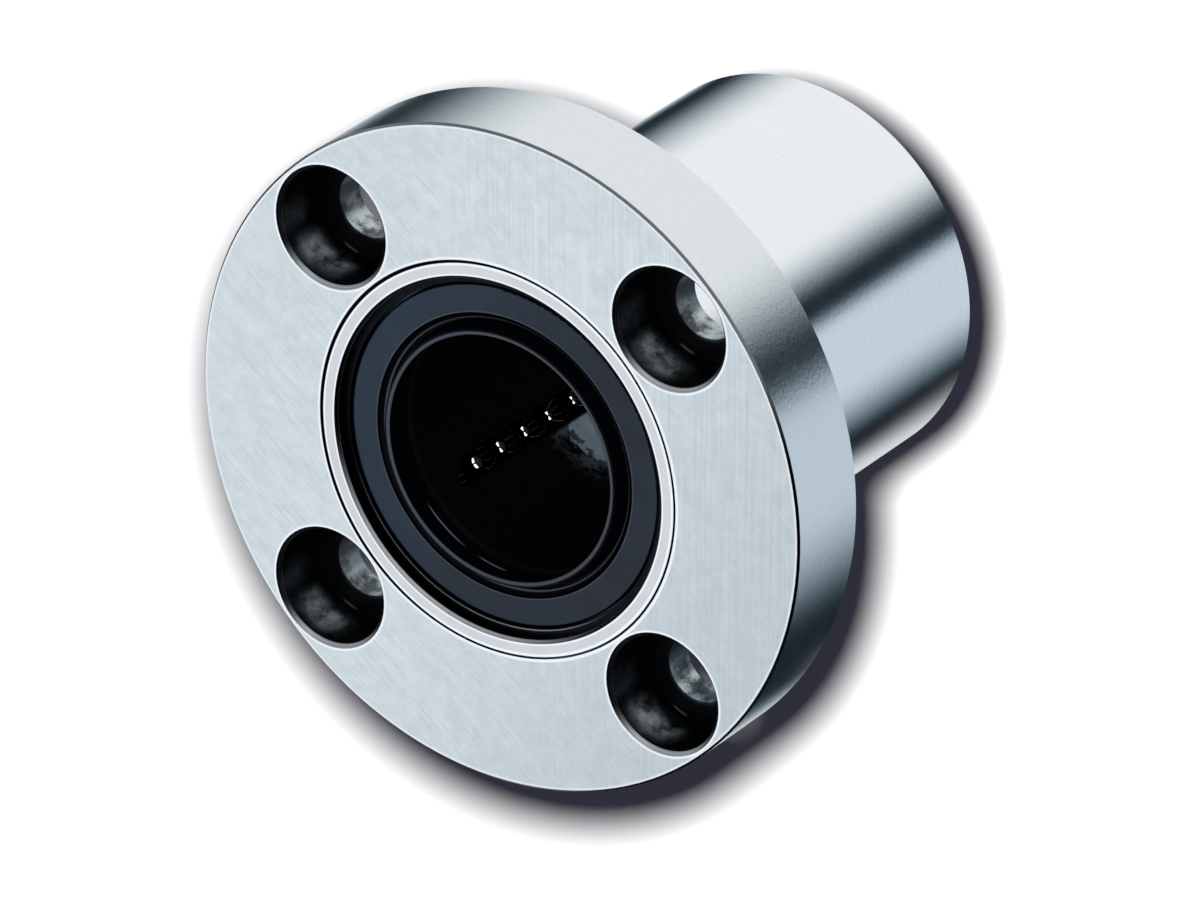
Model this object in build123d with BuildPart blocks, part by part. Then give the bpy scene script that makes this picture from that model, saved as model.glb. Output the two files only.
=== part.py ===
from build123d import *
import os
from math import acos, asin, cos, pi, radians, sin, tan

# Linear ball bushing with a round flange, in millimetres
# The bearing axis is +Z. The tube's rear end lies at z = 0 and the flange's face at the top.
# Depths are measured from the nearer end face, so both ends share one set of values.

# Shaft, body and flange
shaft_dia = 20.0
sleeve_wall = 1.4
body_length = 42.0
body_rear_chamfer = 0.5
undercut_width = 1.0
undercut_depth = 0.2
flange_thickness = 8.0
flange_edge_chamfer = 0.18
seam_chamfer = 0.1

# Screw holes in the flange
bolt_count = 4
bolt_start_angle = 45.0
bolt_hole_dia = 5.5
bolt_hole_chamfer = 0.3
counterbore_dia = 9.5
counterbore_depth = 5.1
counterbore_chamfer = 0.3
counterbore_inner_wall = 0.75
counterbore_outer_wall = 0.75

# Balls and their circuits
ball_dia = 3.175
circuit_count = 5
first_loaded_angle = -142.0
turn_radius = 3.2
turn_tilt = 15.0
return_row_lift = 1.04

# Sleeve bore
end_bore_relief = 0.385
end_bore_chamfer = 0.25
land_clearance = 0.02
land_lead = 0.35
land_ramp_angle = 60.0
return_groove_clearance = 0.12

# Ball retainer
retainer_bore_clearance = 0.35
retainer_land_gap = 0.19
retainer_end_depth = 3.6
retainer_end_wall = 0.6
retainer_edge_chamfer = 0.3
row_clearance = 0.1
turn_clearance = 0.2

# Retaining rings
ring_width = 1.0
ring_thickness = 0.8
ring_depth = 0.9
ring_groove_clearance = 0.02
ring_radial_clearance = 0.05
ring_opening_width = 5.5
ring_opening_angle = 42.0
ring_end_radius = 0.3

# Seals
seal_fit_clearance = 0.05
seal_play = 0.1
seal_rim_gap = 0.04
seal_boss_gap = 0.13
seal_face_depth = 1.0
seal_face_radius = 0.25
lip_crest_depth = 0.3
lip_crest_width = 0.45
lip_crest_radius = 0.3
lip_corner_drop = 0.1
lip_land_length = 0.95
lip_base_width = 0.8
lip_back_slope = 0.5
lip_back_relief = 0.6
valley_depth = 1.85
valley_width = 0.2
bead_crest_depth = 1.12
bead_foot_depth = 1.42
bead_width = 0.4
groove_width = 0.17
groove_drop = 0.35

# Radii that follow from the fits, from the shaft outwards
shaft_r = shaft_dia / 2
ball_r = ball_dia / 2
loaded_r = shaft_r + ball_r
return_r = loaded_r + return_row_lift
end_bore_r = return_r + ball_r + end_bore_relief
body_r = end_bore_r + sleeve_wall
bolt_circle_r = body_r + counterbore_inner_wall + counterbore_dia / 2
flange_r = bolt_circle_r + counterbore_dia / 2 + counterbore_outer_wall
flange_back_z = body_length - flange_thickness
land_r = loaded_r + ball_r + land_clearance
retainer_bore_r = shaft_r + retainer_bore_clearance
retainer_outer_r = land_r - retainer_land_gap
ring_groove_r = end_bore_r + ring_width / 2
ring_outer_r = ring_groove_r - ring_radial_clearance
ring_inner_r = ring_outer_r - ring_width

# Circuit layout: as many balls as fit round a turn, then as many as fit along the straight rows
middle_z = body_length / 2
row_spacing = 2 * turn_radius
balls_per_turn = int(pi / (2 * asin(ball_r / turn_radius)))
ball_pitch = pi * turn_radius / balls_per_turn
turn_height = turn_radius * cos(radians(turn_tilt)) + ball_r + turn_clearance
row_room = body_length - 2 * (retainer_end_depth + retainer_end_wall + turn_height)
balls_per_row = int(row_room / ball_pitch)
row_length = balls_per_row * ball_pitch
row_start_z = middle_z - row_length / 2
angle_cosine = (loaded_r**2 + return_r**2 - row_spacing**2) / (2 * loaded_r * return_r)
row_angle = acos(angle_cosine)
circuit_step = 360.0 / circuit_count

# Channels and cutters reach past the retainer's wall by this much
wall_depth = end_bore_r - retainer_bore_r


def row_point(radius, angle):
    """Point on the middle plane, at a radius and an angle in radians."""
    return Vector(radius * cos(angle), radius * sin(angle), middle_z)


def circuit_plane(index):
    """Plane midway between a circuit's rows: x from the loaded to the return row, y towards the axis."""
    loaded_angle = radians(first_loaded_angle + index * circuit_step)
    loaded_point = row_point(loaded_r, loaded_angle)
    return_point = row_point(return_r, loaded_angle + row_angle)
    return Plane(
        origin=(loaded_point + return_point) * 0.5,
        x_dir=return_point - loaded_point,
        z_dir=(0, 0, 1),
    )


def turn_plane(index, end):
    """Plane of a turn, z outwards: end 1 is the front turn and end -1 the rear one, y is its apex side."""
    rows = circuit_plane(index)
    tilt = radians(turn_tilt)
    return Plane(
        origin=rows.origin + rows.z_dir * (end * row_length / 2),
        x_dir=rows.x_dir * end,
        z_dir=rows.y_dir * -cos(tilt) - rows.z_dir * (end * sin(tilt)),
    )


def revolved_section(points):
    """Sketch of a closed section on the XZ plane from (radius, z) points."""
    with BuildSketch(Plane.XZ) as section:
        with BuildLine():
            Polyline(*points, close=True)
        make_face()
    return section.sketch


def from_end(points, end):
    """Turn (radius, depth) points into (radius, z) points at the front end (1) or the rear end (-1)."""
    if end > 0:
        return [(radius, body_length - depth) for radius, depth in points]
    return [(radius, depth) for radius, depth in points]


# Flange: turned ring on the sleeve, with counterbored screw holes
with BuildPart() as flange:
    with BuildSketch(Plane.XY.offset(flange_back_z)):
        Circle(flange_r)
        Circle(body_r, mode=Mode.SUBTRACT)
    extrude(amount=flange_thickness)
    rims = flange.edges().filter_by(GeomType.CIRCLE).group_by(SortBy.RADIUS)
    chamfer(rims[-1], flange_edge_chamfer)
    chamfer(rims[0].sort_by(Axis.Z)[-1], seam_chamfer)
    with BuildSketch(Plane.XY.offset(body_length)):
        with PolarLocations(bolt_circle_r, bolt_count, bolt_start_angle):
            Circle(counterbore_dia / 2)
    extrude(amount=-counterbore_depth, mode=Mode.SUBTRACT)
    with BuildSketch(Plane.XY.offset(body_length)):
        with PolarLocations(bolt_circle_r, bolt_count, bolt_start_angle):
            Circle(bolt_hole_dia / 2)
    extrude(amount=-flange_thickness, mode=Mode.SUBTRACT)
    for level, hole_dia, size in (
        (body_length, counterbore_dia, counterbore_chamfer),
        (flange_back_z, bolt_hole_dia, bolt_hole_chamfer),
    ):
        circles = flange.edges().filter_by(GeomType.CIRCLE)
        rim_edges = circles.filter_by_position(Axis.Z, level, level)
        chamfer([edge for edge in rim_edges if abs(2 * edge.radius - hole_dia) < 0.01], size)
flange.part.label = "flange"

# Outer sleeve: ground tube with a grinding undercut behind the flange. Inside it has the end bores,
# the ring grooves, the hardened lands that the loaded balls run on and the return grooves.
land_start_depth = row_start_z + land_lead
relief_depth = land_start_depth - (end_bore_r - land_r) / tan(radians(land_ramp_angle))
groove_front = ring_depth - ring_groove_clearance
groove_back = ring_depth + ring_thickness + ring_groove_clearance
bore_contour = [
    (end_bore_r + end_bore_chamfer, 0),
    (end_bore_r, end_bore_chamfer),
    (end_bore_r, groove_front),
    (ring_groove_r, groove_front),
    (ring_groove_r, groove_back),
    (end_bore_r, groove_back),
    (end_bore_r, relief_depth),
    (land_r, land_start_depth),
]
sleeve_section = [
    (body_r, body_rear_chamfer),
    (body_r, flange_back_z - undercut_width),
    (body_r - undercut_depth, flange_back_z - undercut_width),
    (body_r - undercut_depth, flange_back_z),
    (body_r, flange_back_z),
    (body_r, body_length - seam_chamfer),
    (body_r - seam_chamfer, body_length),
    *from_end(bore_contour, 1),
    *from_end(bore_contour[::-1], -1),
    (body_r - body_rear_chamfer, 0),
]
with BuildPart() as outer_sleeve:
    add(revolved_section(sleeve_section))
    revolve(axis=Axis.Z)
    for index in range(circuit_count):
        with BuildSketch(circuit_plane(index).offset(relief_depth - middle_z)):
            with Locations((turn_radius, 0)):
                Circle(ball_r + return_groove_clearance)
        extrude(amount=body_length - 2 * relief_depth, mode=Mode.SUBTRACT)
outer_sleeve.part.label = "outer_sleeve"

# Ball retainer: moulded cage with closed ball tracks. A loaded row's channel breaks into the bore by
# less than a ball's width. The rows run on a little into the tilted turns.
row_half_width = ball_r + row_clearance
turn_half_width = ball_r + turn_clearance
row_overrun = (turn_half_width + row_clearance) * tan(radians(turn_tilt))
with BuildPart() as ball_retainer:
    with BuildSketch(Plane.XY.offset(retainer_end_depth)):
        Circle(retainer_outer_r)
        Circle(retainer_bore_r, mode=Mode.SUBTRACT)
    extrude(amount=body_length - 2 * retainer_end_depth)
    chamfer(ball_retainer.edges().filter_by(GeomType.CIRCLE), retainer_edge_chamfer)
    for index in range(circuit_count):
        with BuildSketch(circuit_plane(index).offset(-row_length / 2 - row_overrun)):
            with Locations((-turn_radius, 0), (turn_radius, 0)):
                Circle(row_half_width)
            with Locations((-turn_radius, -wall_depth / 2), (turn_radius, -wall_depth / 2)):
                Rectangle(2 * row_half_width, wall_depth)
        extrude(amount=row_length + 2 * row_overrun, mode=Mode.SUBTRACT)
        for end in (1, -1):
            turn = turn_plane(index, end)
            with BuildSketch(Plane(origin=turn.origin, x_dir=turn.x_dir, z_dir=-turn.y_dir)):
                with Locations((turn_radius, 0)):
                    Circle(turn_half_width)
                with Locations((turn_radius, wall_depth / 2)):
                    Rectangle(2 * turn_half_width, wall_depth)
            revolve(axis=Axis(turn.origin, turn.z_dir), revolution_arc=180, mode=Mode.SUBTRACT)
ball_retainer.part.label = "ball_retainer"

# Seals: rubber rings with a lip on the shaft, held in the end bores by the retaining rings
rim_r = end_bore_r - seal_fit_clearance
rim_depth = ring_depth + ring_thickness + seal_rim_gap
boss_r = ring_inner_r - seal_boss_gap
back_depth = retainer_end_depth - seal_play
lip_shoulder_depth = lip_crest_depth + lip_corner_drop
lip_land_end = lip_shoulder_depth + lip_land_length
back_bore_r = shaft_r + lip_back_relief
valley_inner_r = shaft_r + lip_base_width
valley_outer_r = valley_inner_r + valley_width
bead_r = valley_outer_r + bead_width
seal_contour = [
    (boss_r, seal_face_depth),
    (boss_r, rim_depth),
    (rim_r, rim_depth),
    (rim_r, back_depth),
    (back_bore_r, back_depth),
    (back_bore_r, lip_land_end + lip_back_slope),
    (shaft_r, lip_land_end),
    (shaft_r, lip_shoulder_depth),
    (shaft_r + lip_crest_width / 2, lip_crest_depth),
    (shaft_r + lip_crest_width, lip_shoulder_depth),
    (valley_inner_r, valley_depth),
    (valley_outer_r, valley_depth),
    (valley_outer_r, bead_foot_depth),
    (bead_r, bead_crest_depth),
    (bead_r + groove_width / 2, seal_face_depth + groove_drop),
    (bead_r + groove_width, seal_face_depth),
]


def seal_section(end):
    """Section of a seal, with its lip's crest and the edge of its face rounded."""
    with BuildSketch(Plane.XZ) as section:
        with BuildLine():
            Polyline(*from_end(seal_contour, end), close=True)
        make_face()
        crest = from_end([(shaft_r + lip_crest_width / 2, lip_crest_depth)], end)[0]
        crest_corner = section.vertices().sort_by_distance((crest[0], crest[1]))[0]
        fillet(crest_corner, lip_crest_radius)
        edge = from_end([(boss_r, seal_face_depth)], end)[0]
        face_corner = section.vertices().sort_by_distance((edge[0], edge[1]))[0]
        fillet(face_corner, seal_face_radius)
    return section.sketch


with BuildPart() as seal_front:
    add(seal_section(1))
    revolve(axis=Axis.Z)
seal_front.part.label = "seal_front"

with BuildPart() as seal_rear:
    add(seal_section(-1))
    revolve(axis=Axis.Z)
seal_rear.part.label = "seal_rear"


def ring_section():
    """Outline of a retaining ring: an open ring with rounded ends."""
    with BuildSketch() as section:
        Circle(ring_outer_r)
        Circle(ring_inner_r, mode=Mode.SUBTRACT)
        with PolarLocations(ring_outer_r, 1, ring_opening_angle):
            Rectangle(4 * ring_width, ring_opening_width, mode=Mode.SUBTRACT)
        fillet(section.vertices(), ring_end_radius)
    return section.sketch


# Retaining rings: spring steel, snapped into the grooves of the sleeve
with BuildPart(Plane.XY.offset(body_length - ring_depth)) as retaining_ring_front:
    add(ring_section())
    extrude(amount=-ring_thickness)
retaining_ring_front.part.label = "retaining_ring_front"

with BuildPart(Plane.XY.offset(ring_depth)) as retaining_ring_rear:
    add(ring_section())
    extrude(amount=ring_thickness)
retaining_ring_rear.part.label = "retaining_ring_rear"

fixed_pieces = (
    flange,
    outer_sleeve,
    ball_retainer,
    seal_front,
    seal_rear,
    retaining_ring_front,
    retaining_ring_rear,
)
os.makedirs("parts", exist_ok=True)
for piece in fixed_pieces:
    export_step(piece.part, f"parts/{piece.part.label}.step")


def row_centres(index, side):
    """Ball centres of a straight row: side -1 is the loaded row and side 1 the return row."""
    heights = [(ball + 0.5) * ball_pitch - row_length / 2 for ball in range(balls_per_row)]
    plane = circuit_plane(index)
    return [plane.from_local_coords((side * turn_radius, 0, height)) for height in heights]


def turn_centres(index, end):
    """Ball centres of a turn, evenly spaced round its half circle."""
    angles = [(ball + 0.5) * pi / balls_per_turn for ball in range(balls_per_turn)]
    plane = turn_plane(index, end)
    return [
        plane.from_local_coords((turn_radius * cos(angle), turn_radius * sin(angle), 0))
        for angle in angles
    ]


# Balls: each circuit is a loaded row, a return row and the turns that join them at both ends
for index in range(circuit_count):
    stretches = {
        "loaded_row": row_centres(index, -1),
        "return_row": row_centres(index, 1),
        "front_turn": turn_centres(index, 1),
        "rear_turn": turn_centres(index, -1),
    }
    for stretch, centres in stretches.items():
        with BuildPart() as balls:
            with Locations(*centres):
                Sphere(ball_r)
        balls.part.label = f"{stretch}_{index + 1}"
        export_step(balls.part, f"parts/{balls.part.label}.step")
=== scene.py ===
from math import cos, pi, radians, sin

import bpy
from mathutils import Matrix, Vector

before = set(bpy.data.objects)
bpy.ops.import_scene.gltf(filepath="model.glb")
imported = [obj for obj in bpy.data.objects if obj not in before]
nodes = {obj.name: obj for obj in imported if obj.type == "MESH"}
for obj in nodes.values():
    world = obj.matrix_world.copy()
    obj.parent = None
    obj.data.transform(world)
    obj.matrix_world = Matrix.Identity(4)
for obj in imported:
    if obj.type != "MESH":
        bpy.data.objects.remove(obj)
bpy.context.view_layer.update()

scene = bpy.context.scene

# Lengths in this file are millimetres and angles are degrees, except for the camera and the lamps,
# which are placed in metres. Angles round the bushing's axis start at +X.
MM = 0.001

# Camera: place and axes in the bushing's frame, fitted to the flange's edges and the screw holes
CAMERA_PLACE = Vector((0.39307, 0.35158, 0.62599))
IMAGE_RIGHT = Vector((0.83192, 0.01346, -0.55473))
IMAGE_UP = Vector((-0.25735, 0.89505, -0.36422))
IMAGE_BACK = Vector((0.49160, 0.44577, 0.74808))
CAMERA_LENS = 314.6
SENSOR_WIDTH = 36.0

# Sizes of the solids that the finishes are laid out by
TOP_Z = 42.0
MIDDLE_Z = 21.0
FLANGE_R = 27.0
BODY_R = 16.0
END_BORE_R = 14.6
SCREW_CIRCLE_R = 21.5
COUNTERBORE_R = 4.75
COUNTERBORE_FLOOR_Z = 36.9
SCREW_HOLE_R = 2.75
RING_INNER_R = 14.05
SEAL_FLAT_R = 11.57
VALLEY_OUTER_R = 11.0
SHAFT_R = 10.0
LIP_TOP_Z = 41.7
RETAINER_BORE_R = 10.35

# The fine seam between the flange and the sleeve: half its width, and how much it gains on one side
SEAM_HALF = 0.09
SEAM_WIDER = 0.07
SEAM_WIDE_TURN = 172

# The painted pool of light in the bore: where its middle lies, how far it reaches each way, how
# high it comes, and where it thins out on the far side
LIT_PATCH_TURN = -118
LIT_PATCH_HALF_TURN = 17
LIT_PATCH_TOP_Z = 21.6
LIT_PATCH_FAR_FULL = 20
LIT_PATCH_FAR_END = 33


def add_camera():
    data = bpy.data.cameras.new("camera")
    data.lens = CAMERA_LENS
    data.sensor_width = SENSOR_WIDTH
    camera = bpy.data.objects.new("camera", data)
    turn = Matrix((IMAGE_RIGHT, IMAGE_UP, IMAGE_BACK)).transposed()
    camera.matrix_world = Matrix.Translation(CAMERA_PLACE) @ turn.to_4x4()
    scene.collection.objects.link(camera)
    scene.camera = camera


add_camera()
scene.view_settings.view_transform = "Standard"


class Signal:
    """A value in a shader. Python's operators on it add the Math nodes."""

    def __init__(self, tree, socket):
        self.tree = tree
        self.socket = socket

    def math(self, operation, *values, swap=False, clamp=False):
        node = self.tree.nodes.new("ShaderNodeMath")
        node.operation = operation
        node.use_clamp = clamp
        operands = (self, *values)
        if swap:
            operands = operands[::-1]
        for socket, operand in zip(node.inputs, operands):
            feed(self.tree, socket, operand)
        return Signal(self.tree, node.outputs[0])

    def __add__(self, other):
        return self.math("ADD", other)

    def __sub__(self, other):
        return self.math("SUBTRACT", other)

    def __rsub__(self, other):
        return self.math("SUBTRACT", other, swap=True)

    def __mul__(self, other):
        return self.math("MULTIPLY", other)

    def __truediv__(self, other):
        return self.math("DIVIDE", other)

    def __rtruediv__(self, other):
        return self.math("DIVIDE", other, swap=True)

    def __pow__(self, other):
        return self.math("POWER", other)

    def __abs__(self):
        return self.math("ABSOLUTE")

    def __gt__(self, other):
        return self.math("GREATER_THAN", other)

    __radd__ = __add__
    __rmul__ = __mul__


def feed(tree, socket, value):
    """Link a signal to a socket, or set the socket to a plain value."""
    if isinstance(value, Signal):
        tree.links.new(value.socket, socket)
    elif isinstance(value, tuple) and len(value) == 3 and socket.type == "RGBA":
        socket.default_value = (*value, 1.0)
    else:
        socket.default_value = value


class Finish:
    """A node tree for a material or the world, in millimetres of the bushing's frame."""

    def __init__(self, owner):
        owner.use_nodes = True
        self.owner = owner
        self.tree = owner.node_tree
        self.tree.nodes.clear()

    def node(self, kind, settings=None, inputs=None, output=0):
        node = self.tree.nodes.new("ShaderNode" + kind)
        for name, value in (settings or {}).items():
            setattr(node, name, value)
        for name, value in (inputs or {}).items():
            feed(self.tree, node.inputs[name], value)
        return Signal(self.tree, node.outputs[output]) if node.outputs else None

    def split(self, vector):
        return [
            self.node("SeparateXYZ", inputs={"Vector": vector}, output=axis)
            for axis in range(3)
        ]

    def join(self, x, y, z):
        return self.node("CombineXYZ", inputs={"X": x, "Y": y, "Z": z})

    def place(self):
        """x, y and z in millimetres."""
        metres = self.node("TexCoord", output="Object")
        inputs = {0: metres, "Scale": 1 / MM}
        return self.split(self.node("VectorMath", {"operation": "SCALE"}, inputs))

    def normal(self):
        return self.split(self.node("TexCoord", output="Normal"))

    def noise(self, place, scale=1.0, detail=2.0, roughness=0.5):
        """Noise from 0 to 1, with its main spots 1 / scale millimetres apart."""
        inputs = {
            "Vector": self.join(*place),
            "Scale": scale,
            "Detail": detail,
            "Roughness": roughness,
        }
        return self.node("TexNoise", inputs=inputs)

    def ease(self, value, start, end):
        """Smooth change from 0 to 1 as a value goes from start to end."""
        inputs = {"Value": value, "From Min": start, "From Max": end}
        return self.node("MapRange", {"interpolation_type": "SMOOTHSTEP"}, inputs)

    def blend(self, share, low, high):
        """Colour that goes from low to high as share goes from 0 to 1."""
        inputs = {0: share, 6: low, 7: high}
        return self.node("Mix", {"data_type": "RGBA"}, inputs, output=2)

    def bump(self, height, depth, normal=None):
        """Normal of a surface on which a height from 0 to 1 stands for a depth in millimetres."""
        inputs = {"Strength": 1.0, "Distance": depth * MM, "Height": height}
        if normal:
            inputs["Normal"] = normal
        return self.node("Bump", inputs=inputs)

    def round_normal(self, place, full_radius):
        """The mesh's normal, made exactly round on the cylinder of that radius about the axis."""
        x, y, z = place
        radius = (x * x + y * y) ** 0.5
        level = self.ease(abs(self.normal()[2]), 0.2, 0.1)
        share = self.ease(radius, full_radius - 0.12, full_radius - 0.08) * level
        settings = {"vector_type": "NORMAL", "convert_from": "OBJECT", "convert_to": "WORLD"}
        inputs = {"Vector": self.join(x / radius, y / radius, 0.0)}
        outward = self.node("VectorTransform", settings, inputs)
        meshed = self.node("NewGeometry", output="Normal")
        inputs = {0: share, 4: meshed, 5: outward}
        return self.node("Mix", {"data_type": "VECTOR"}, inputs, output=1)

    def surface(self, **inputs):
        """A Principled surface whose sockets are named as they are in Blender, in small letters."""
        names = {"specular_ior_level": "Specular IOR Level"}
        sockets = {
            names.get(name, name.replace("_", " ").title()): value
            for name, value in inputs.items()
        }
        shader = self.node("BsdfPrincipled", inputs=sockets)
        self.node("OutputMaterial", inputs={"Surface": shader})
        return self.owner


def finish(name):
    return Finish(bpy.data.materials.new(name))


def wear(parts, material):
    """Give CAD nodes a material."""
    for name in parts:
        mesh = nodes[name].data
        mesh.materials.clear()
        mesh.materials.append(material)


def distance(x, y):
    """Distance from an axis, from the offsets along X and Y."""
    return (x * x + y * y) ** 0.5


def side(x, y, radius, turn):
    """Cosine of the angle between a point and a turn round an axis."""
    return (x * cos(radians(turn)) + y * sin(radians(turn))) / radius


def streaks(steel, place, turn, pitch, length, seed, detail=2.0):
    """Noise drawn out along one direction of the XY plane."""
    x, y, z = place
    level, rise = cos(radians(turn)), sin(radians(turn))
    along = x * level + y * rise
    across = y * level - x * rise
    return steel.noise((along / length, across / pitch, z / length + seed), detail=detail)


def turned_rings(steel, radius, pitch):
    """Marks that a tool leaves round an axis."""
    return steel.noise((radius / pitch, 0.0, 0.0), detail=2.0)


def seam_share(steel, x, y, radius, z):
    """Where the flange and the sleeve meet on the face; the line is wider on one side, as painted
    shade.
    """
    wide_side = steel.ease(side(x, y, radius, SEAM_WIDE_TURN), -0.2, 0.9)
    half = SEAM_HALF + wide_side * SEAM_WIDER
    inside = (abs(radius - BODY_R) - half).math("MULTIPLY_ADD", -25.0, 0.5, clamp=True)
    return inside * steel.ease(z, TOP_Z - 0.4, TOP_Z - 0.3)


def ground_marks(steel, place):
    """Grain of the ground face, crossing streaks and a cloudiness, and its deeper scratches."""
    x, y, z = place
    slant = streaks(steel, place, turn=-36, pitch=0.16, length=7.0, seed=3.1, detail=3.0)
    slant_fine = streaks(steel, place, turn=-48, pitch=0.1, length=3.5, seed=8.4)
    upright = streaks(steel, place, turn=91, pitch=0.2, length=9.0, seed=5.7, detail=3.0)
    scratches = streaks(steel, place, turn=-41, pitch=0.22, length=5.0, seed=12.6, detail=1.0)
    clouds = steel.noise(place, scale=0.16, detail=4.0)
    mottle = steel.noise(place, scale=0.8, detail=5.0, roughness=0.65)
    share = steel.ease(clouds + x * 0.012 + y * 0.004, 0.42, 0.68)
    grain = slant * (1 - share) + upright * share
    grain = grain * 0.4 + slant_fine * 0.15 + mottle * 0.45
    return grain, steel.ease(scratches, 0.66, 0.72)


# Where the screw recesses get their painted highlights, glint and shade, as turns round each hole's
# own axis
BRIGHT_PATCH_TURN = -119
FAINT_PATCH_TURN = -172
CORNER_GLINT_TURN = -112
LOW_MOUTH_TURN = -85
DARK_DRILLED_TURN = -95


def flange_steel():
    """Ground face with crossing streaks, turned edge and back, bored screw recesses painted dark as
    shade, and painted highlights along the edges.
    """
    steel = finish("flange_steel")
    place = steel.place()
    x, y, z = place
    normal_z = steel.normal()[2]
    radius = distance(x, y)

    # Place round the nearest screw hole's axis
    offset = SCREW_CIRCLE_R * cos(pi / 4)
    hole_x = x - ((x > 0) * 2 - 1) * offset
    hole_y = y - ((y > 0) * 2 - 1) * offset
    hole_r = distance(hole_x, hole_y)

    def hole_side(turn, start, end):
        return steel.ease(side(hole_x, hole_y, hole_r, turn), start, end)

    # Ground face, painted a little darker to the right as shade
    grain, scratch = ground_marks(steel, place)
    face = steel.ease(normal_z, 0.9, 0.99) * steel.ease(z, TOP_Z - 0.2, TOP_Z - 0.1)
    ground = steel.blend(
        steel.ease(grain, 0.34, 0.66), (0.61, 0.663, 0.686), (0.758, 0.803, 0.828)
    )
    right = steel.ease(x - y * 0.6, -4.0, 34.0)
    ground = steel.blend(right * 0.32, ground, (0.34, 0.38, 0.42))
    ground = steel.blend(scratch * 0.22, ground, (0.86, 0.90, 0.94))

    # Painted highlights: the edges bright where the face ends, at the screw holes, the seam and the
    # rim
    rim_highlights = steel.ease(hole_r, COUNTERBORE_R + 0.55, COUNTERBORE_R + 0.38)
    rim_highlights = rim_highlights.math("MAXIMUM", steel.ease(radius, BODY_R + 0.42, BODY_R + 0.26))
    rim_highlights = rim_highlights.math("MAXIMUM", steel.ease(radius, FLANGE_R - 0.42, FLANGE_R - 0.3) * 0.6)
    ground = steel.blend(rim_highlights, ground, (0.96, 0.98, 1.0))

    # The thin bevel round the rim: grey, and painted black as shade on one side
    bevel = steel.ease(radius, FLANGE_R - 0.34, FLANGE_R - 0.26)
    bevel = bevel * steel.ease(normal_z, 0.15, 0.3) * (1 - face)
    bevel = bevel * steel.ease(z, TOP_Z - 0.6, TOP_Z - 0.5)
    bevel_shade_side = steel.ease(side(x, y, radius, -25), 0.5, 0.8)

    # Turned edge and back: fine feed marks and a speckle
    feed_marks = steel.noise((0.0, 0.0, z / 0.12), detail=2.0)
    speckle = steel.noise(place, scale=3.2, detail=5.0, roughness=0.6)
    turned = steel.blend(speckle, (0.66, 0.69, 0.71), (0.80, 0.83, 0.84))

    # Screw recess: the bored wall and floor, painted dark as shade
    recess = steel.ease(hole_r, COUNTERBORE_R + 0.3, COUNTERBORE_R + 0.05)
    recess = recess * steel.ease(z, TOP_Z - 0.28, TOP_Z - 0.34)
    wall = steel.ease(hole_r, COUNTERBORE_R - 0.3, COUNTERBORE_R - 0.1)
    wall = wall * steel.ease(z, COUNTERBORE_FLOOR_Z + 0.3, COUNTERBORE_FLOOR_Z + 2.0)
    tool_rings = steel.noise((hole_r / 0.25, 0.0, z / 0.3), detail=2.0)
    recess_mottle = steel.noise((x, y, z * 0.8), scale=0.55, detail=6.0, roughness=0.68)

    # Painted reflections as bright drawn-out patches on the wall, tool rings on the floor and a
    # painted glint in the corner
    bright_patch = hole_side(BRIGHT_PATCH_TURN, 0.8, 1.0)
    bright_patch = bright_patch * steel.ease(z, TOP_Z - 0.2, TOP_Z - 2.3)
    faint_patch = hole_side(FAINT_PATCH_TURN, 0.95, 1.0)
    patches = steel.ease(recess_mottle, 0.3, 0.66) * (bright_patch + faint_patch * 0.15) * wall
    corner = steel.ease(abs(hole_r - (COUNTERBORE_R - 0.33)), 0.16, 0.05) * (1 - wall)
    corner = corner * hole_side(CORNER_GLINT_TURN, 0.983, 0.997)
    floor_rings = steel.ease(tool_rings, 0.5, 0.7) * (1 - wall)
    patches = patches + recess_mottle * 0.05 + floor_rings * 0.08 + corner * 0.4
    bored = steel.blend(patches, (0.006, 0.0065, 0.008), (0.21, 0.245, 0.265))

    # Brighter where the drill went through, with painted shade darkening one side
    through = steel.ease(hole_r, SCREW_HOLE_R + 0.32, SCREW_HOLE_R + 0.02)
    through = through * steel.ease(z, COUNTERBORE_FLOOR_Z + 0.05, COUNTERBORE_FLOOR_Z - 0.15)
    drilled = steel.blend(
        steel.ease(recess_mottle, 0.38, 0.6), (0.06, 0.07, 0.08), (0.50, 0.56, 0.57)
    )
    drilled_shade = steel.blend(recess_mottle, (0.008, 0.010, 0.014), (0.06, 0.072, 0.085))
    drilled = steel.blend(hole_side(DARK_DRILLED_TURN, 0.1, 0.8), drilled_shade, drilled)

    # The recess's chamfered mouth: bright on the low side, painted black as shade on the other
    mouth = steel.ease(hole_r, COUNTERBORE_R + 0.34, COUNTERBORE_R + 0.3)
    mouth = mouth * steel.ease(normal_z, 0.95, 0.85)
    mouth = mouth * (1 - recess) * steel.ease(z, TOP_Z - 0.5, TOP_Z - 0.4)
    low_side = hole_side(LOW_MOUTH_TURN, 0.35, 0.95)
    mouth_rings = turned_rings(steel, hole_r, 0.07)
    chamfer = steel.blend(
        steel.ease(mouth_rings, 0.35, 0.65), (0.28, 0.31, 0.33), (0.70, 0.74, 0.76)
    )
    dark_mouth = steel.blend(
        steel.ease(mouth_rings, 0.5, 0.7), (0.010, 0.012, 0.019), (0.07, 0.075, 0.10)
    )

    # The seam's dark line; painted shade makes it darker on one side, greyer towards +X
    greyer_side = steel.ease(x, -4.0, 10.0)
    seam_line = steel.blend(greyer_side, (0.008, 0.009, 0.010), (0.25, 0.27, 0.29))
    bevel_colour = steel.blend(bevel_shade_side, (0.27, 0.29, 0.31), (0.015, 0.017, 0.02))

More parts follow.
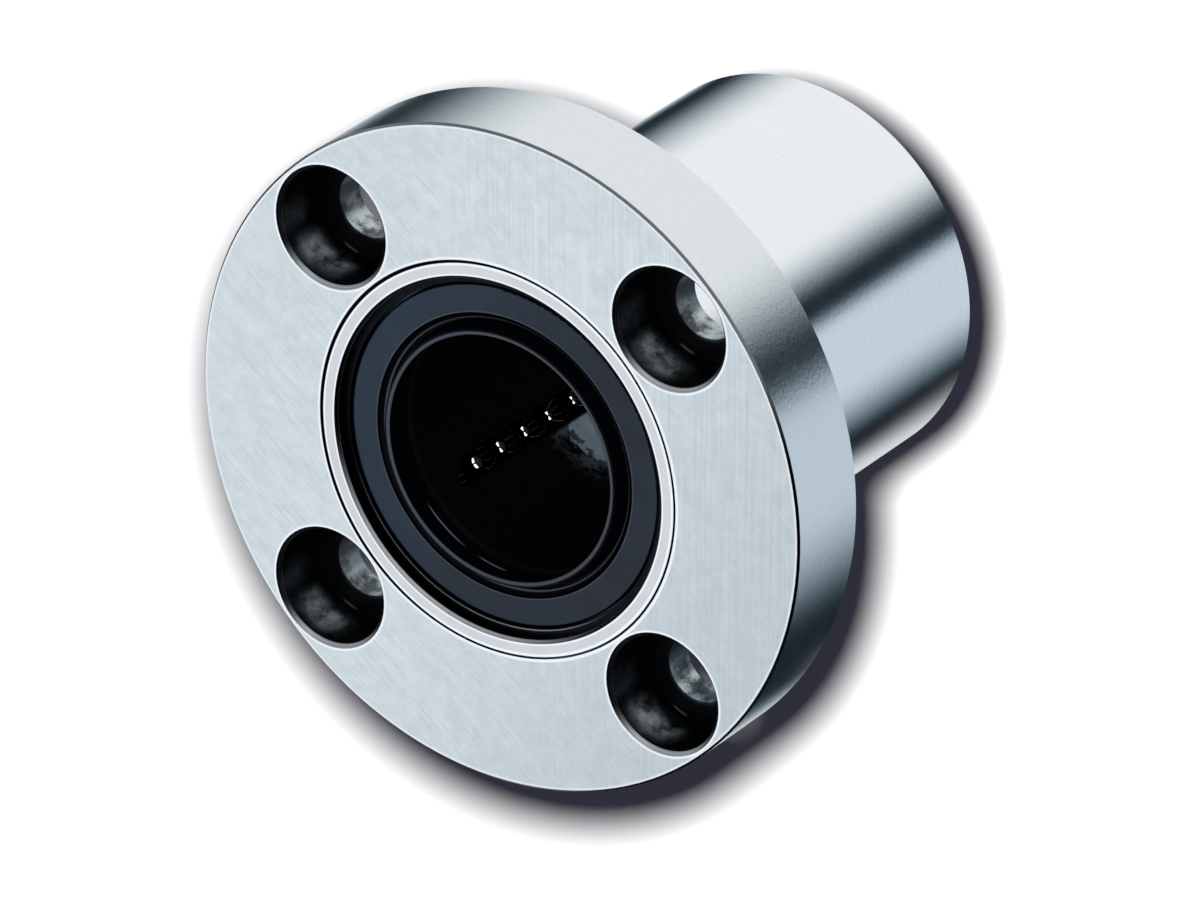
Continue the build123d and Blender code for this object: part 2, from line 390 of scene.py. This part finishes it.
    colour = steel.blend(face, turned, ground)
    colour = steel.blend(mouth, colour, steel.blend(low_side, dark_mouth, chamfer))
    colour = steel.blend(bevel, colour, bevel_colour)
    colour = steel.blend(recess, colour, bored)
    colour = steel.blend(through, colour, drilled)
    colour = steel.blend(seam_share(steel, x, y, radius, z), colour, seam_line)

    dull = recess * patches * 0.4 + mouth * low_side * 0.28 + bevel * (1 - bevel_shade_side) * 0.28
    relief = grain * face + (1 - face) * (feed_marks * 0.1 + speckle * 2.2)
    relief = relief + recess * tool_rings * 0.6
    return steel.surface(
        base_color=colour,
        metallic=1 - dull,
        roughness=0.14 + face * (0.1 + grain * 0.12) + speckle * 0.06 + (recess + mouth) * 0.2,
        normal=steel.bump(relief, 0.004, steel.round_normal(place, FLANGE_R)),
    )


def sleeve_steel():
    """Ground and polished tube; its bore is duller, and painted darker as shade."""
    steel = finish("sleeve_steel")
    place = steel.place()
    x, y, z = place
    radius = distance(x, y)
    lines = steel.noise((x * 0.08, y * 0.08, z / 0.1), detail=3.0)
    haze = steel.noise(place, scale=0.35, detail=4.0)
    grain = steel.noise(place, scale=3.0, detail=4.0)
    # The bore, painted dark as shade
    bore = steel.ease(radius, END_BORE_R + 0.04, END_BORE_R)
    outer = steel.blend(lines, (0.74, 0.77, 0.80), (0.90, 0.92, 0.94))
    inner = steel.blend(haze, (0.012, 0.012, 0.015), (0.06, 0.062, 0.066))

    # The end face, with painted highlights along its rims
    end = steel.ease(z, TOP_Z - 0.12, TOP_Z - 0.05)
    rim_highlights = steel.ease(radius, END_BORE_R + 0.44, END_BORE_R + 0.36)
    rim_highlights = rim_highlights.math("MAXIMUM", steel.ease(radius, BODY_R - 0.36, BODY_R - 0.28))
    face = steel.blend(haze, (0.63, 0.64, 0.65), (0.76, 0.77, 0.78))
    outer = steel.blend(end, outer, steel.blend(rim_highlights, face, (0.96, 0.98, 1.0)))
    colour = steel.blend(bore, outer, inner)

    # The bore's chamfered mouth: bright on the low side, painted black as shade on the other
    mouth = steel.ease(radius, END_BORE_R + 0.28, END_BORE_R + 0.24) * (1 - bore)
    low_side = steel.ease(side(x, y, radius, -112), 0.45, 0.95)
    turned = steel.ease(turned_rings(steel, radius, 0.05), 0.3, 0.65)
    chamfer = steel.blend(turned, (0.10, 0.11, 0.12), (0.62, 0.65, 0.67))
    chamfer = steel.blend(low_side, (0.010, 0.011, 0.014), chamfer)
    colour = steel.blend(mouth, colour, chamfer)

    # The seam's dark line, wider on one side as painted shade
    seam = seam_share(steel, x, y, radius, z)
    relief = lines * 0.25 + grain * (1 - end) * 3.0
    return steel.surface(
        base_color=steel.blend(seam, colour, (0.01, 0.011, 0.012)),
        metallic=1 - mouth * low_side * 0.4,
        roughness=0.1 + haze * 0.04 + lines * 0.03 + (bore + mouth) * 0.15 + end * 0.12,
        normal=steel.bump(relief, 0.0012, steel.round_normal(place, BODY_R)),
    )


def retainer_resin():
    """Black moulded acetal with a faint mould texture, and a painted pool of light on one side of
    the bore.
    """
    resin = finish("retainer_resin")
    place = resin.place()
    x, y, z = place
    radius = distance(x, y)
    mould = resin.noise(place, scale=1.6, detail=4.0)
    lit_patch_mottle = resin.noise(place, scale=0.9, detail=5.0, roughness=0.65)
    ragged = lit_patch_mottle - 0.5

    # The painted pool of light ends sharply beside the balls, thins out on the far side and is
    # ragged at its top
    edge = cos(radians(LIT_PATCH_HALF_TURN))
    reach = resin.ease(side(x, y, radius, LIT_PATCH_TURN), edge, edge + 0.006)
    far = side(x, y, radius, LIT_PATCH_TURN - LIT_PATCH_HALF_TURN) + ragged * 0.1
    far_end, far_full = cos(radians(LIT_PATCH_FAR_END)), cos(radians(LIT_PATCH_FAR_FULL))
    reach = reach * resin.ease(far, far_end, far_full)
    film = reach * resin.ease(z + ragged * 5.0, LIT_PATCH_TOP_Z + 0.2, LIT_PATCH_TOP_Z - 0.2)
    thin = reach * resin.ease(z + ragged * 9.0, LIT_PATCH_TOP_Z + 3.2, LIT_PATCH_TOP_Z + 1.6)
    film = film.math("MAXIMUM", thin * resin.ease(lit_patch_mottle, 0.42, 0.6) * 0.22)
    film = film * resin.ease(radius, RETAINER_BORE_R + 0.25, RETAINER_BORE_R + 0.15)

    black = resin.blend(mould, (0.0004, 0.0005, 0.0006), (0.0012, 0.0013, 0.0016))
    # Painted light: the colour of the pool of light on the bore wall
    lit_patch_colour = resin.blend(lit_patch_mottle, (0.028, 0.038, 0.048), (0.10, 0.13, 0.155))
    return resin.surface(
        base_color=resin.blend(film, black, lit_patch_colour),
        roughness=0.3 + mould * 0.2,
        specular_ior_level=0.05,
        normal=resin.bump(mould, 0.0015),
    )


# Two painted highlight arcs inside the lip: where the middle lies, and half its length, fading and
# full
INNER_LINE_Z = 39.4
GLINT_ARCS = ((-127, 13, 4), (-101, 8, 2))


def seal_rubber():
    """Dark slate rubber, a little chalky, with painted light on its flat face and lip's crest and
    painted highlights along its edges.
    """
    rubber = finish("seal_rubber")
    place = rubber.place()
    x, y, z = place
    normal_z = abs(rubber.normal()[2])
    radius = distance(x, y)
    height = abs(z - MIDDLE_Z)
    chalk = rubber.noise(place, scale=0.5, detail=5.0)
    pores = rubber.noise(place, scale=6.0, detail=3.0)

    # Painted light on the flat face and the lip's crest: a lighter colour there, which also gets a
    # coat
    flat = rubber.ease(radius, SEAL_FLAT_R - 0.05, SEAL_FLAT_R) * rubber.ease(normal_z, 0.9, 0.97)
    crest_height = LIP_TOP_Z - MIDDLE_Z
    crest = rubber.ease(height, crest_height - 0.14, crest_height - 0.05)
    crest = crest * rubber.ease(radius, SHAFT_R + 0.32, SHAFT_R + 0.22)
    painted_light_share = flat.math("MAXIMUM", crest)

    # Painted highlights: thin light lines along the edges and the lip's crest, and two arcs inside
    # the lip
    edge = flat * rubber.ease(radius, SEAL_FLAT_R + 0.14, SEAL_FLAT_R + 0.06)
    foot = rubber.ease(abs(radius - (VALLEY_OUTER_R + 0.07)), 0.09, 0.05)
    foot = foot * rubber.ease(normal_z, 0.5, 0.7)
    arcs = sum(
        rubber.ease(side(x, y, radius, turn), cos(radians(half)), cos(radians(full)))
        for turn, half, full in GLINT_ARCS
    )
    arcs = arcs * rubber.ease(abs(height - (INNER_LINE_Z - MIDDLE_Z)), 0.12, 0.02)
    arcs = arcs * rubber.ease(radius, SHAFT_R + 0.7, SHAFT_R + 0.65)
    painted_glint = (edge * 0.6 + foot * 0.8 + crest * 0.7 + arcs * 1.8).math("MINIMUM", 2.0)

    bare = rubber.blend(chalk, (0.0003, 0.0004, 0.0007), (0.0006, 0.0008, 0.0013))
    # Painted light: the lit colour is lighter towards one side, with some chalky tone at random
    left = rubber.ease(side(x, y, radius, 160), -0.6, 1.0)
    side_light_and_chalk = left * 0.7 + rubber.ease(chalk, 0.35, 0.65) * 0.3
    lit_rubber = rubber.blend(side_light_and_chalk, (0.001, 0.004, 0.01), (0.005, 0.015, 0.029))
    colour = rubber.blend(painted_light_share, bare, lit_rubber)
    return rubber.surface(
        base_color=rubber.blend(painted_glint * 0.5, colour, (0.075, 0.082, 0.10)),
        roughness=0.45,
        specular_ior_level=0.05,
        coat_weight=painted_light_share * 0.5,
        coat_roughness=0.2,
        normal=rubber.bump(pores, 0.004),
    )


def spring_steel():
    """Oil-blackened spring steel, with a painted highlight along one side of its inner edge."""
    spring = finish("spring_steel")
    place = spring.place()
    x, y, z = place
    radius = distance(x, y)
    oil = spring.noise(place, scale=0.9, detail=4.0)
    painted_glint = spring.ease(radius, RING_INNER_R + 0.13, RING_INNER_R + 0.08)
    painted_glint = painted_glint * spring.ease(side(x, y, radius, -105), 0.5, 0.9)
    colour = spring.blend(oil, (0.004, 0.0043, 0.006), (0.012, 0.0125, 0.015))
    return spring.surface(
        base_color=spring.blend(painted_glint, colour, (0.20, 0.21, 0.22)),
        metallic=1.0,
        roughness=0.25 + oil * 0.2,
        normal=spring.bump(oil, 0.004),
    )


def ball_steel():
    """Mirror-polished bearing balls under a film of oil."""
    balls = finish("ball_steel")
    film = balls.noise(balls.place(), scale=1.4, detail=3.0)
    return balls.surface(
        base_color=balls.blend(film, (0.38, 0.38, 0.385), (0.50, 0.50, 0.51)),
        metallic=1.0,
        specular_tint=(0.05, 0.05, 0.05),
        roughness=0.04 + film * 0.04,
    )


wear(["flange"], flange_steel())
wear(["outer_sleeve"], sleeve_steel())
wear(["ball_retainer"], retainer_resin())
wear(["seal_front", "seal_rear"], seal_rubber())
wear(["retaining_ring_front", "retaining_ring_rear"], spring_steel())
wear([name for name in nodes if "_row_" in name or "_turn_" in name], ball_steel())

# Light. The key lamp stands before the camera, a little to the image's upper left, so the bushing's
# shadow shows as a narrow band along its lower right side. A second lamp at the same place lights
# the floor alone. Distances are in metres and powers in watts. SHADE is all that the world gives to
# matt surfaces, so it is the colour of the shadow.
KEY_DISTANCE = 0.636
KEY_SHIFT = 0.007
KEY_SHIFT_TURN = 134
KEY_SIZE = 0.0135
KEY_POWER = 6.66
FLOOR_POWER = 7.4
SHADE = (0.027, 0.028, 0.042)
AIM = Vector((0.00627, 0.00084, 0.03739))


def add_key(name, power):
    lamp = bpy.data.lights.new(name, "AREA")
    lamp.shape = "DISK"
    lamp.size = KEY_SIZE
    lamp.energy = power
    key = bpy.data.objects.new(name, lamp)
    turn = radians(KEY_SHIFT_TURN)
    aside = IMAGE_RIGHT * cos(turn) + IMAGE_UP * sin(turn)
    towards = IMAGE_BACK * KEY_DISTANCE + aside * KEY_SHIFT
    key.location = AIM + towards
    key.rotation_euler = towards.to_track_quat("Z", "Y").to_euler()
    key.visible_glossy = False
    scene.collection.objects.link(key)
    return key


def add_sheet(name, corners, look):
    """A flat face of the stage, from its corners in millimetres."""
    mesh = bpy.data.meshes.new(name)
    points = [[value * MM for value in corner] for corner in corners]
    mesh.from_pydata(points, [], [tuple(range(len(corners)))])
    mesh.materials.append(look.owner)
    sheet = bpy.data.objects.new(name, mesh)
    scene.collection.objects.link(sheet)
    return sheet


# The floor lies well below the bushing, plain white, and runs out into the white behind it
FLOOR_HALF = 400.0
FLOOR_LEVEL = -160.0
FLOOR_PLAIN_R = 270.0
FLOOR_END_R = 340.0


def rectangle(left, right, near, far, level):
    return [(left, near, level), (right, near, level), (right, far, level), (left, far, level)]


def add_floor():
    paper = finish("floor_white")
    x, y, z = paper.place()
    gone = paper.ease(distance(x, y), FLOOR_PLAIN_R, FLOOR_END_R)
    white = paper.node("BsdfDiffuse", inputs={"Color": (1.0, 1.0, 1.0)})
    clear = paper.node("BsdfTransparent")
    surface = paper.node("MixShader", inputs={0: gone, 1: white, 2: clear})
    paper.node("OutputMaterial", inputs={"Surface": surface})
    corners = rectangle(-FLOOR_HALF, FLOOR_HALF, -FLOOR_HALF, FLOOR_HALF, FLOOR_LEVEL)
    floor = add_sheet("floor", corners, paper)
    floor.visible_glossy = False
    lit = bpy.data.collections.new("floor_only")
    lit.objects.link(floor)
    add_key("floor_key", FLOOR_POWER).light_linking.receiver_collection = lit


# Two cards that show in reflections alone. A round black one keeps the far end of the bore dark.
# A white one lies below the tube's near side and fades out towards the right.
BLACK_CARD_R = 14.5
BLACK_CARD_Z = -2.0
BLACK_CARD_CORNERS = 24
WHITE_CARD_X = (-22.0, 21.0)
WHITE_CARD_Y = (-57.5, -21.0)
WHITE_CARD_Z = -20.0
WHITE_CARD_FULL_X = 2.0
WHITE_CARD_FADED = (0.02, 0.022, 0.025)
WHITE_CARD_COLOUR = (0.69, 0.73, 0.74)


def add_card(name, corners, look, colour):
    glow = look.node("Emission", inputs={"Color": colour})
    look.node("OutputMaterial", inputs={"Surface": glow})
    card = add_sheet(name, corners, look)
    card.visible_camera = False
    card.visible_diffuse = False
    card.visible_shadow = False


def add_cards():
    turns = [count * 2 * pi / BLACK_CARD_CORNERS for count in range(BLACK_CARD_CORNERS)]
    circle = [(cos(turn) * BLACK_CARD_R, sin(turn) * BLACK_CARD_R, BLACK_CARD_Z) for turn in turns]
    add_card("black_card", circle, finish("card_black"), (0.0, 0.0, 0.0))
    white = finish("card_white")
    share = white.ease(white.place()[0], WHITE_CARD_X[1], WHITE_CARD_FULL_X)
    colour = white.blend(share, WHITE_CARD_FADED, WHITE_CARD_COLOUR)
    corners = rectangle(*WHITE_CARD_X, *WHITE_CARD_Y, WHITE_CARD_Z)
    add_card("white_card", corners, white, colour)


# Soft panels round the bushing that its polished sides reflect: where each one starts to show round
# the axis, is full, begins to fade and is gone, and its colour. The turn is cut open in the dark
# gap, so no panel crosses it. Dim colours turn a little cooler.
DARK_GAP = 188.0
PANELS = (
    (-166.0, -143.0, -130.0, -106.0, (0.80, 0.83, 0.86)),
    (-144.0, -137.0, -134.0, -122.0, (1.30, 1.33, 1.35)),
    (-74.0, -32.0, 0.0, 14.0, (0.68, 0.74, 0.81)),
    (20.0, 51.0, 132.0, 187.0, (0.97, 0.99, 1.00)),
)
PANEL_DARK = (0.015, 0.0155, 0.019)
RED_POWER = 1.12
BLUE_POWER = 0.96

# Above the panels: a low grey ring, darkness, and a wide bright spot that the ground face reflects
LOW_RING = (0.30, 0.33, 0.36)
OVERHEAD_DARK = (0.02, 0.022, 0.026)
OVERHEAD_BRIGHT = (0.92, 0.96, 1.00)
OVERHEAD_TURN = 222
OVERHEAD_RISE = 48
OVERHEAD_FULL = 20
OVERHEAD_END = 62

# Two small windows high up on either side: the glints on the balls and the seal's lips
WINDOWS = ((86, 58), (70, 66), (-11, 58), (6, 66))
WINDOW_FULL = 6.5
WINDOW_END = 9.5
WINDOW_COLOUR = (4.0, 4.15, 4.3)


def spot_share(studio, direction, turn, rise, full, end):
    """1 within an angle of a direction, and 0 beyond a wider one."""
    x, y, z = direction
    turn, rise = radians(turn), radians(rise)
    level = cos(rise)
    towards = x * (level * cos(turn)) + y * (level * sin(turn)) + z * sin(rise)
    return studio.ease(towards, cos(radians(end)), cos(radians(full)))


def side_panels(studio, x, y):
    """Colour of the panels round the axis."""
    cut = DARK_GAP - 180
    turned_x = x * cos(radians(cut)) + y * sin(radians(cut))
    turned_y = y * cos(radians(cut)) - x * sin(radians(cut))
    azimuth = turned_y.math("ARCTAN2", turned_x) * (180 / pi) + cut
    sides = PANEL_DARK
    for start, full, fading, gone, colour in PANELS:
        share = studio.ease(azimuth, start, full) * studio.ease(azimuth, gone, fading)
        sides = studio.blend(share, sides, colour)
    red, green, blue = studio.split(sides)
    return studio.join(red**RED_POWER, green, blue**BLUE_POWER)


def add_world():
    world = bpy.data.worlds.new("studio")
    scene.world = world
    world.cycles.sampling_method = "NONE"
    studio = Finish(world)
    direction = studio.split(studio.node("TexCoord", output="Generated"))
    x, y, z = direction
    overhead = studio.blend(studio.ease(z, 0.36, 0.2), OVERHEAD_DARK, LOW_RING)
    bright = spot_share(
        studio, direction, OVERHEAD_TURN, OVERHEAD_RISE, OVERHEAD_FULL, OVERHEAD_END
    )
    overhead = studio.blend(bright, overhead, OVERHEAD_BRIGHT)
    for turn, rise in WINDOWS:
        window = spot_share(studio, direction, turn, rise, WINDOW_FULL, WINDOW_END)
        overhead = studio.blend(window, overhead, WINDOW_COLOUR)
    around = studio.blend(studio.ease(z, -0.05, 0.1), side_panels(studio, x, y), overhead)
    seen = studio.blend(studio.node("LightPath", output="Is Camera Ray"), around, (1.0, 1.0, 1.0))
    scattered = studio.node("LightPath", output="Diffuse Depth") > 0.5
    seen = studio.blend(scattered, seen, SHADE)
    light = studio.node("Background", inputs={"Color": seen, "Strength": 1.0})
    studio.node("OutputWorld", inputs={"Surface": light})


add_key("key", KEY_POWER)
add_floor()
add_cards()
add_world()
